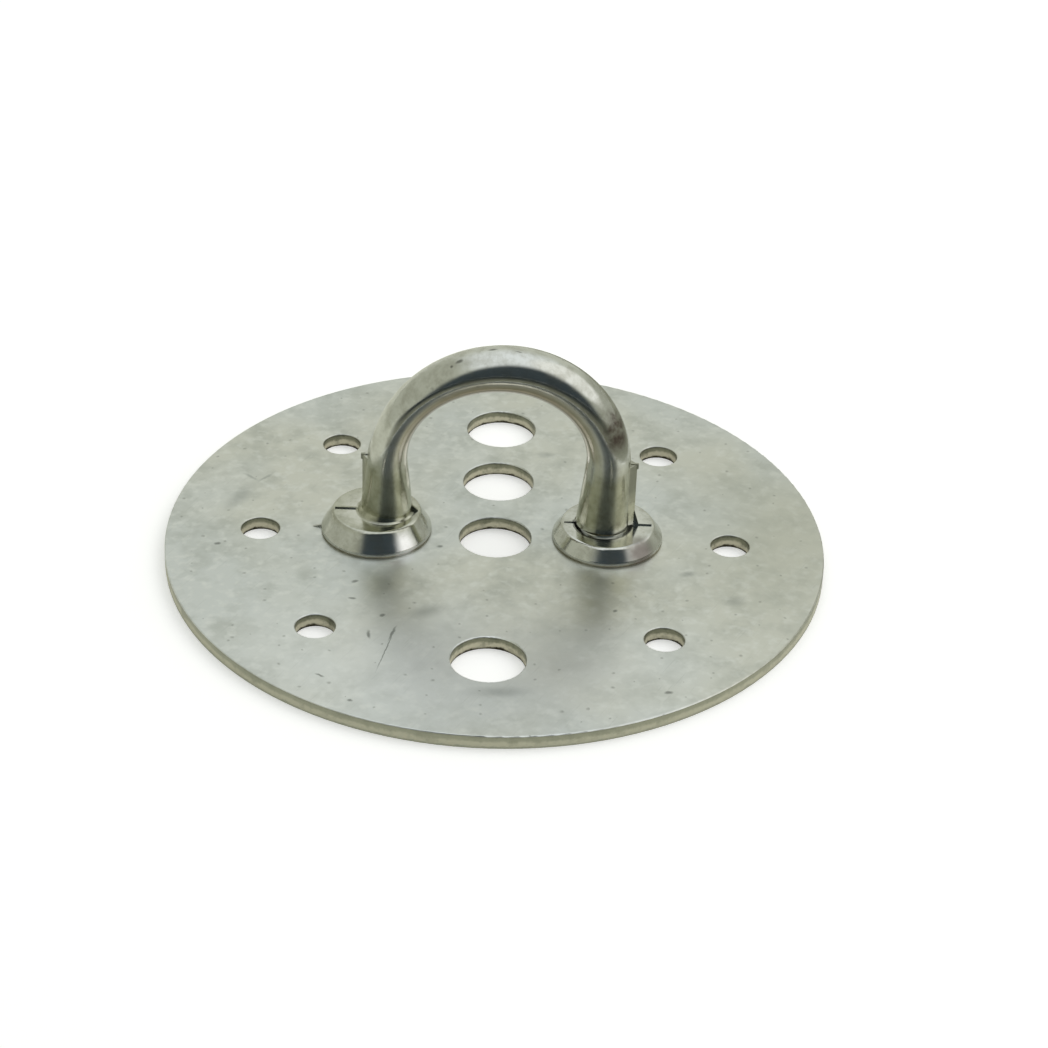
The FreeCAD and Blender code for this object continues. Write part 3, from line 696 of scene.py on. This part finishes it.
# Painted light: the top faces of both collars are made paler.
COLLAR_TOP_LIGHT = {
    "left": ((-13.0, 0.8, 4.0), 0, (4.8, 4.8, 0.35)),
    "right": ((13.4, 0.8, 3.3), 0, (3.6, 4.8, 0.35)),
}
# Painted shade: darker where the legs meet the collars, and on the right leg's web.
ROD_CORNER_SHADE = {
    "front of the left foot": ((-12.3, -2.2, 4.4), 0, (2.2, 1.0, 0.7)),
    "right of the left foot": ((-9.2, 0.6, 4.3), 0, (0.7, 1.3, 0.6)),
    "front of the right foot": ((11.8, -2.4, 3.5), 0, (2.6, 0.8, 0.4)),
    "web of the right leg": ((15.3, 0.6, 4.2), 0, (0.8, 0.5, 1.4)),
}
print(len(ROD_PITS), "deep pits and", len(ROD_CORNER_SHADE), "corners of painted shade on the rod")

# %% [markdown]
# Under all those marks the skin is not even: a fine cloud varies its colour. It
# goes from clear to cloudy, once for the bright bow and once for the darker
# metal that the dies gripped.

# %% Clean skin of the rod
CLOUD_SIZE = 1.6
CLOUD_RANGE = (0.38, 0.68)
BRIGHT_CLEAR = "#DDDFD9"
BRIGHT_CLOUDY = "#C5C6BD"
GRIPPED_CLEAR = "#BFC0AC"
GRIPPED_CLOUDY = "#A2A38E"


def rod_skin(tree, place, gripped):
    """Return the colour of clean plated rod, its cloud, and how cloudy it is."""
    cloud = add_node(tree, "ShaderNodeTexNoise", {
        "Vector": place, "Scale": scale_for(CLOUD_SIZE), "Detail": 5.0, "Roughness": 0.65})
    cloudy = add_node(tree, "ShaderNodeMapRange", {
        "Value": cloud.outputs["Fac"], "From Min": CLOUD_RANGE[0], "From Max": CLOUD_RANGE[1],
    }, interpolation_type="SMOOTHSTEP")
    bright = add_node(tree, "ShaderNodeMix", {
        "Factor": cloudy, "A": linear(BRIGHT_CLEAR), "B": linear(BRIGHT_CLOUDY)}, data_type="RGBA")
    dull = add_node(tree, "ShaderNodeMix", {
        "Factor": cloudy, "A": linear(GRIPPED_CLEAR), "B": linear(GRIPPED_CLOUDY)}, data_type="RGBA")
    colour = add_node(tree, "ShaderNodeMix", {"Factor": gripped, "A": bright, "B": dull}, data_type="RGBA")
    return colour, cloud.outputs["Fac"], cloudy


print("the rod's cloud is", CLOUD_SIZE, "mm")

# %% [markdown]
# The rod's material lays its marks over that skin, from the brown underside of
# the bow to the deepest pits. The cloud moves the gloss too, and the grip, the
# flash and the collars' feet each have a gloss of their own. Bending stretched
# the skin into faint waves, a bump of a few hundredths of a millimetre, and they
# make the reflections swim.

# %% Zinc plated rod
ROD_RAGGED = (0.8, 0.3)
ROD_PIT_CELL = 1.7
ROD_PIT_RADII = (0.1, 0.3)
ROD_PIT_LUCK = 0.6
STAIN_RANGE = (0.4, 0.6)
STAIN_THINNEST = 0.4
SIDE_SLOPES = (0.1, -0.25)
UNDERSIDE_SLOPES = (0.0, -0.5)
ROD_LAYERS = {
    "sides": (0.55, "#BBB294"),
    "underside": (0.85, "#6C6449"),
    "stains": (0.9, "#6C5B58"),
    # Painted light: paler top faces of the collars.
    "painted light on collar tops": (0.55, "#F4F4EE"),
    # Painted highlight: near white on the left collar.
    "painted highlight on the left collar": (0.95, "#FFFFFF"),
    "collar stains": (0.85, "#6F6661"),
    # Painted shade in the corners at the feet of the legs.
    "corner shade": (0.75, "#4A4B40"),
    "seam": (0.6, "#32352B"),
    "flash": (0.8, "#C6C7B8"),
    "pits": (0.45, "#66665C"),
    "deep pits": (0.7, "#45463F"),
}
BRIGHT_ROUGHNESS = (0.13, 0.22)
GRIPPED_ROUGHNESS = 0.2
FLASH_ROUGHNESS = 0.75
FOOT_ROUGHNESS = 0.55
WAVE_SIZE = 4
WAVE_RELIEF = 5.0
ROD_BUMP = 0.03


def zinc_rod():
    """Make the material of plated drawn rod."""
    material, tree = new_material("plated_drawn_rod")
    coordinates = add_node(tree, "ShaderNodeTexCoord")
    place = coordinates.outputs["Object"]
    normal = coordinates.outputs["Normal"]
    rough_place = ragged(tree, place, *ROD_RAGGED)
    gripped = where_gripped(tree, place)
    flash = where_flash(tree, place)

    skin, cloud, cloudy = rod_skin(tree, place, gripped)

    small_pits = pits(tree, rough_place, ROD_PIT_CELL, ROD_PIT_RADII, ROD_PIT_LUCK, "3D")
    uneven = add_node(tree, "ShaderNodeMapRange", {
        "Value": cloud, "From Min": STAIN_RANGE[0], "From Max": STAIN_RANGE[1],
        "To Min": STAIN_THINNEST, "To Max": 1.0})
    rod_stains = add_node(tree, "ShaderNodeMath", {
        0: marks_mask(tree, rough_place, ROD_STAINS, STAIN_CORE), 1: uneven}, operation="MULTIPLY")
    masks = {
        "sides": where_turned_down(tree, normal, *SIDE_SLOPES),
        "underside": where_turned_down(tree, normal, *UNDERSIDE_SLOPES),
        "stains": rod_stains,
        # Painted light on the top faces of the collars.
        "painted light on collar tops": marks_mask(tree, rough_place, COLLAR_TOP_LIGHT, FIRM_CORE),
        # Painted highlight on the left collar.
        "painted highlight on the left collar": marks_mask(tree, rough_place, COLLAR_HIGHLIGHT),
        "collar stains": marks_mask(tree, rough_place, COLLAR_STAINS),
        # The mask of painted shade at the feet of the legs.
        "corner shade": marks_mask(tree, rough_place, ROD_CORNER_SHADE, SOFT_CORE),
        "seam": where_seam(tree, rough_place),
        "flash": flash,
        "pits": small_pits,
        "deep pits": marks_mask(tree, rough_place, ROD_PITS),
    }
    colour = lay_over(tree, skin, ROD_LAYERS, masks)

    roughness = add_node(tree, "ShaderNodeMapRange", {
        "Value": cloudy, "To Min": BRIGHT_ROUGHNESS[0], "To Max": BRIGHT_ROUGHNESS[1]})
    own_gloss = (
        (gripped, GRIPPED_ROUGHNESS),
        (flash, FLASH_ROUGHNESS),
        (where_collar_foot(tree, place), FOOT_ROUGHNESS),
    )
    for mask, value in own_gloss:
        roughness = add_node(tree, "ShaderNodeMix", {"Factor": mask, "A": roughness, "B": value})

    waves = add_node(tree, "ShaderNodeTexNoise", {
        "Vector": place, "Scale": scale_for(WAVE_SIZE), "Detail": 2.0})
    relief = add_node(tree, "ShaderNodeMath", {
        0: waves.outputs["Fac"], 1: WAVE_RELIEF, 2: cloud}, operation="MULTIPLY_ADD")
    relief = add_node(tree, "ShaderNodeMath", {0: relief, 1: small_pits}, operation="SUBTRACT")
    end_in_metal(tree, colour, roughness, relief, ROD_BUMP)
    return material


rod_material = zinc_rod()
print("made", rod_material.name, "with", len(rod_material.node_tree.nodes), "nodes")

# %% [markdown]
# The two CAD nodes have the right shape, so they stay as they are. Each only
# gives up its plain grey slot for the finish that was made for it.

# %% Give the CAD nodes their finish
FINISHES = {"ceiling_plate": sheet_material, "hook_loop": rod_material}
for name, finish in FINISHES.items():
    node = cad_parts[name]
    node.data.materials.clear()
    node.data.materials.append(finish)
    print(name, "wears", finish.name, "on", len(node.data.polygons), "faces")

# %% [markdown]
# ## The studio
#
# Polished metal has hardly any colour of its own: it shows the room. So small
# metal goods are photographed in a light tent, a dome of pale cloth that is lit
# from outside. The camera looks through it at a plain white world. Such a large,
# even light needs no aimed light rays, so those are switched off for cloth and
# world, and the render is quicker.

# %% World
BACKDROP = "#FFFFFF"


def white_world():
    """Make a plain white world."""
    world = bpy.data.worlds.new("white_backdrop")
    bpy.context.scene.world = world
    world.use_nodes = True
    tree = world.node_tree
    tree.nodes.clear()
    plain = add_node(tree, "ShaderNodeBackground", {"Color": linear(BACKDROP)})
    add_node(tree, "ShaderNodeOutputWorld", {"Surface": plain})
    world.cycles.sampling_method = "NONE"
    return world


world = white_world()
print("made", world.name)

# %% [markdown]
# The tent is lighter overhead and through a window on the right, greyer at both
# sides, and dark in front, where the photographer stands. That side draws the
# dark band along the front of the rod. The cloth is painted by direction. Each
# side is a soft patch: the way to its middle, its half sizes, how far out it
# fades, and its colour.

# %% Cloth of the light tent
TENT_GLOW = 1.0
TENT_OVERHEAD = (0.4, 1.0)
TENT_CLOTH = "#CBCDC1"
TENT_TOP = "#F6FAFC"
TENT_SIDES = {
    "left wall": ((-1.0, -0.1, 0.3), (0.6, 0.9, 0.6), 1.6, "#B4B6A8"),
    "right wall": ((1.0, 0.2, 0.0), (0.5, 0.9, 0.35), 1.6, "#AEB0A4"),
    "right window": ((0.75, -0.1, 0.7), (0.4, 0.5, 0.35), 1.6, "#FFFFFB"),
    "dark front": ((0.13, -1.0, 0.2), (0.5, 1.0, 0.55), 1.5, "#3C4448"),
}
PATCH_EDGE = 1.05


def tent_cloth():
    """Paint pale cloth with a dark side behind the camera."""
    material, tree = new_material("pale_tent_cloth")
    place = add_node(tree, "ShaderNodeTexCoord").outputs["Object"]
    direction = add_node(tree, "ShaderNodeVectorMath", {0: place}, operation="NORMALIZE")
    up = add_node(tree, "ShaderNodeSeparateXYZ", {"Vector": direction}).outputs["Z"]
    overhead = add_node(tree, "ShaderNodeMapRange", {
        "Value": up, "From Min": TENT_OVERHEAD[0], "From Max": TENT_OVERHEAD[1],
    }, interpolation_type="SMOOTHSTEP")
    cloth = add_node(tree, "ShaderNodeMix", {
        "Factor": overhead, "A": linear(TENT_CLOTH), "B": linear(TENT_TOP)}, data_type="RGBA")
    for middle, half_sizes, fade, code in TENT_SIDES.values():
        local = add_node(tree, "ShaderNodeMapping", {
            "Vector": direction, "Location": middle, "Scale": half_sizes}, vector_type="TEXTURE")
        away = add_node(tree, "ShaderNodeVectorMath", {0: local}, operation="LENGTH")
        patch = add_node(tree, "ShaderNodeMapRange", {
            "Value": away, "From Min": fade, "From Max": PATCH_EDGE}, interpolation_type="SMOOTHSTEP")
        cloth = add_node(tree, "ShaderNodeMix", {
            "Factor": patch, "A": cloth, "B": linear(code)}, data_type="RGBA")
    lit = add_node(tree, "ShaderNodeEmission", {"Color": cloth, "Strength": TENT_GLOW})
    add_node(tree, "ShaderNodeOutputMaterial", {"Surface": lit})
    material.cycles.emission_sampling = "NONE"
    return material


cloth_material = tent_cloth()
print("made", cloth_material.name, "with", len(TENT_SIDES), "sides")

# %% [markdown]
# The tent, the floor and the card are each a bmesh shape with one material, so
# one helper makes their objects. The dome is the upper half of an icosphere,
# because its triangles are all about one size. It gives light and is seen in
# reflections, but not by the camera or through glass.

# %% Light tent
TENT_RADIUS = 2500.0
TENT_FINENESS = 4


def make_object(name, shape, material):
    """Turn a finished bmesh into an object that wears one material."""
    mesh = bpy.data.meshes.new(name)
    shape.to_mesh(mesh)
    shape.free()
    mesh.materials.append(material)
    made = bpy.data.objects.new(name, mesh)
    bpy.context.scene.collection.objects.link(made)
    return made


def add_tent():
    """Stand a dome of lit cloth over the hook."""
    shape = bmesh.new()
    bmesh.ops.create_icosphere(shape, subdivisions=TENT_FINENESS, radius=TENT_RADIUS * MM)
    everything = shape.verts[:] + shape.edges[:] + shape.faces[:]
    bmesh.ops.bisect_plane(shape, geom=everything, plane_co=(0, 0, 0), plane_no=(0, 0, 1), clear_inner=True)
    tent = make_object("light_tent", shape, cloth_material)
    tent.visible_camera = False
    tent.visible_transmission = False
    return tent


tent = add_tent()
print("light tent of", len(tent.data.polygons), "faces")

# %% [markdown]
# One large, weak lamp adds a soft shadow. The rod would mirror it as a burnt
# white square, so the lamp is left out of reflections. Its power grows with its
# area, so it stays as bright when it is made wider for a softer shadow. Its
# place and width are in metres.

# %% Lamp
LAMP_PLACE = Vector((0.42, 0.3, 0.55))
LAMP_WIDTH = 0.55
LAMP_BRIGHTNESS = 1.1
LAMP_COLOUR = "#FFFDF6"


def add_softbox():
    """Add a square area lamp that faces the hook."""
    data = bpy.data.lights.new("softbox", "AREA")
    data.shape = "SQUARE"
    data.size = LAMP_WIDTH
    data.energy = math.pi * LAMP_WIDTH ** 2 * LAMP_BRIGHTNESS
    data.color = linear(LAMP_COLOUR)[:3]
    lamp = bpy.data.objects.new("softbox", data)
    lamp.location = LAMP_PLACE
    lamp.rotation_euler = (-LAMP_PLACE).to_track_quat("-Z", "Y").to_euler()
    lamp.visible_camera = False
    lamp.visible_glossy = False
    bpy.context.scene.collection.objects.link(lamp)
    return lamp


lamp = add_softbox()
print("lamp of", round(lamp.data.energy, 2), "watts")

# %% [markdown]
# ## The floor
#
# The hook lies on a white sheet. A white floor lit like this renders a little
# grey, so for the camera, and for rays that mirrors and glass send on, it also
# glows by the small amount that is missing. Its shadow still shows, because the
# glow is added to the light that falls on it and doesn't replace it.

# %% Floor
FLOOR_HALF_WIDTH = 3.0
FLOOR_PAPER = "#F4F4F4"
FLOOR_GLOW = 0.35


def floor_paper():
    """Make white paper that glows a little where it is seen."""
    material, tree = new_material("white_paper_floor")
    paper = add_node(tree, "ShaderNodeBsdfDiffuse", {"Color": linear(FLOOR_PAPER)})
    rays = add_node(tree, "ShaderNodeLightPath")
    seen = rays.outputs["Is Camera Ray"]
    for kind in ("Is Glossy Ray", "Is Transmission Ray"):
        seen = add_node(tree, "ShaderNodeMath", {0: seen, 1: rays.outputs[kind]}, operation="MAXIMUM")
    strength = add_node(tree, "ShaderNodeMath", {0: seen, 1: FLOOR_GLOW}, operation="MULTIPLY")
    glow = add_node(tree, "ShaderNodeEmission", {"Color": linear(BACKDROP), "Strength": strength})
    both = add_node(tree, "ShaderNodeAddShader", {0: paper, 1: glow})
    add_node(tree, "ShaderNodeOutputMaterial", {"Surface": both})
    return material


def add_floor():
    """Lay a large white floor under the hook."""
    shape = bmesh.new()
    bmesh.ops.create_grid(shape, x_segments=1, y_segments=1, size=FLOOR_HALF_WIDTH)
    floor = make_object("floor", shape, floor_paper())
    return floor


floor = add_floor()
print("made the floor", 2 * FLOOR_HALF_WIDTH, "m wide")

# %% [markdown]
# A white table burns out the edges of shiny metal. So photographers lay grey
# and black card round it, just outside the picture. Here a flat ring of card
# lies round the plate: pale for the most part, grey on the right and in front,
# and black farther out in front. It is seen in reflections alone, so the picture
# keeps its white floor. A shade is the way to its middle, the two cosines from
# that way between which it fades in, and its colour.

# %% Ring of card
CARD_GAP = 3.5
CARD_INNER = PLATE_RADIUS + CARD_GAP
CARD_OUTER = 1500.0
CARD_HEIGHT = 0.3
CARD_SEGMENTS = 96
CARD_PALE = "#E8E8DC"
CARD_SHADES = {
    "right": ((1.0, 0.1, 0.0), -0.1, 0.4, "#A2A396"),
    "front": ((0.0, -1.0, 0.0), 0.5, 0.85, "#8A8A7C"),
}
CARD_BLACK = "#3A3F40"
CARD_BLACK_RANGE = (50, 120)
CARD_UNSEEN_BY = ("camera", "diffuse", "shadow", "transmission", "volume_scatter")


def shaded_card():
    """Paint pale, grey and black card by direction and distance."""
    material, tree = new_material("pale_grey_and_black_card")
    place = add_node(tree, "ShaderNodeTexCoord").outputs["Object"]
    direction = add_node(tree, "ShaderNodeVectorMath", {0: place}, operation="NORMALIZE")
    colour = linear(CARD_PALE)
    shares = {}
    for side, (towards, start, end, code) in CARD_SHADES.items():
        facing = add_node(tree, "ShaderNodeVectorMath", {0: direction, 1: towards}, operation="DOT_PRODUCT")
        shares[side] = add_node(tree, "ShaderNodeMapRange", {
            "Value": facing, "From Min": start, "From Max": end}, interpolation_type="SMOOTHSTEP")
        colour = add_node(tree, "ShaderNodeMix", {
            "Factor": shares[side], "A": colour, "B": linear(code)}, data_type="RGBA")
    reach = add_node(tree, "ShaderNodeVectorMath", {0: place}, operation="LENGTH")
    far = add_node(tree, "ShaderNodeMapRange", {
        "Value": reach, "From Min": CARD_BLACK_RANGE[0] * MM, "From Max": CARD_BLACK_RANGE[1] * MM})
    black = add_node(tree, "ShaderNodeMath", {0: far, 1: shares["front"]}, operation="MULTIPLY")
    colour = add_node(tree, "ShaderNodeMix", {
        "Factor": black, "A": colour, "B": linear(CARD_BLACK)}, data_type="RGBA")
    paper = add_node(tree, "ShaderNodeBsdfDiffuse", {"Color": colour})
    add_node(tree, "ShaderNodeOutputMaterial", {"Surface": paper})
    return material


def add_card():
    """Lay a flat ring of card round the plate."""
    shape = bmesh.new()
    outer = bmesh.ops.create_circle(shape, segments=CARD_SEGMENTS, radius=CARD_OUTER * MM)
    inner = bmesh.ops.create_circle(shape, segments=CARD_SEGMENTS, radius=CARD_INNER * MM)
    edges = {edge for vert in outer["verts"] + inner["verts"] for edge in vert.link_edges}
    bmesh.ops.bridge_loops(shape, edges=list(edges))
    bmesh.ops.translate(shape, verts=shape.verts, vec=(0.0, 0.0, CARD_HEIGHT * MM))
    bmesh.ops.recalc_face_normals(shape, faces=shape.faces)
    card = make_object("card_ring", shape, shaded_card())
    for ray in CARD_UNSEEN_BY:
        setattr(card, f"visible_{ray}", False)
    return card


card = add_card()
print("card ring of", len(card.data.polygons), "faces")

# %% [markdown]
# ## Finish
#
# Standard keeps each colour as it is written.

# %% Finish
bpy.context.scene.view_settings.view_transform = "Standard"
